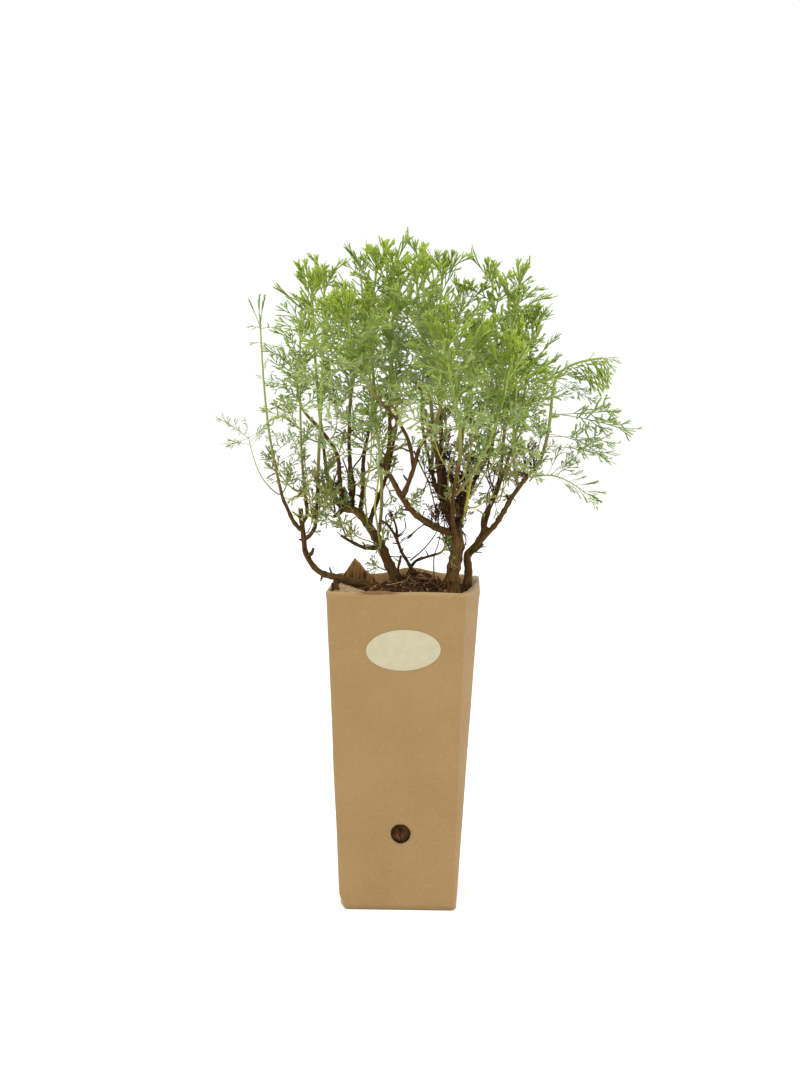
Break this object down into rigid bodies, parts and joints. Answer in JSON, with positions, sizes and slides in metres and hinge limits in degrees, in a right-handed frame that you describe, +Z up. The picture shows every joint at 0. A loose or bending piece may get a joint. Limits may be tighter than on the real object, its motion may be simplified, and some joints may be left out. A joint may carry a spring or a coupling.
{
  "type": "potted artemisia alba",
  "caption": "Bushy aromatic herb with finely cut grey-green leaves on bare woody stems, standing in a tall tapered square kraft board pot with an oval label.",
  "frame": {"origin": "centre of the pot's flat bottom, on the surface that the pot stands on", "axes": "+Z up, +X to the right of the pot's labelled front, -Y out of the labelled front"},
  "size_m": [0.2431, 0.1798, 0.4083],
  "materials": {
    "kraft_board": "matt speckled kraft board",
    "label_paper": "smooth cream sticker paper",
    "soil": "dark peaty soil with fibres",
    "bark": "rough dark brown bark",
    "foliage": "soft matt grey-green leaves"
  },
  "bodies": {
    "root": {"pot": "kraft_board", "label": "label_paper", "soil": "soil", "left_stem": "bark", "middle_stem": "bark", "dead_twigs": "bark", "main_trunk": "bark", "right_stem": "bark", "shoot_far_left": "foliage", "shoot_left_sprig": "foliage", "shoot_bright_left": "foliage", "shoot_left_low": "foliage", "shoot_left_mid": "foliage", "shoot_left_top": "foliage", "shoot_crown_left": "foliage", "shoot_crown_rear": "foliage", "shoot_rear_left": "foliage", "shoot_yellow_left": "foliage", "shoot_crown_middle": "foliage", "shoot_front_high": "foliage", "shoot_front_left": "foliage", "shoot_crown_centre": "foliage", "shoot_crown_dark": "foliage", "shoot_front_bright": "foliage", "shoot_crown_right": "foliage", "shoot_high_right": "foliage", "shoot_front_middle": "foliage", "shoot_front_right": "foliage", "shoot_rear_middle": "foliage", "shoot_rear_high": "foliage", "shoot_arching_right": "foliage", "shoot_right_low": "foliage", "shoot_right_upper": "foliage", "shoot_right_front": "foliage", "shoot_right_rear": "foliage", "shoot_tuft_left": "foliage", "shoot_tuft_knot": "foliage", "shoot_tuft_twig": "foliage", "shoot_tuft_root": "foliage", "shoot_tuft_centre": "foliage"}
  },
  "joints": []
}
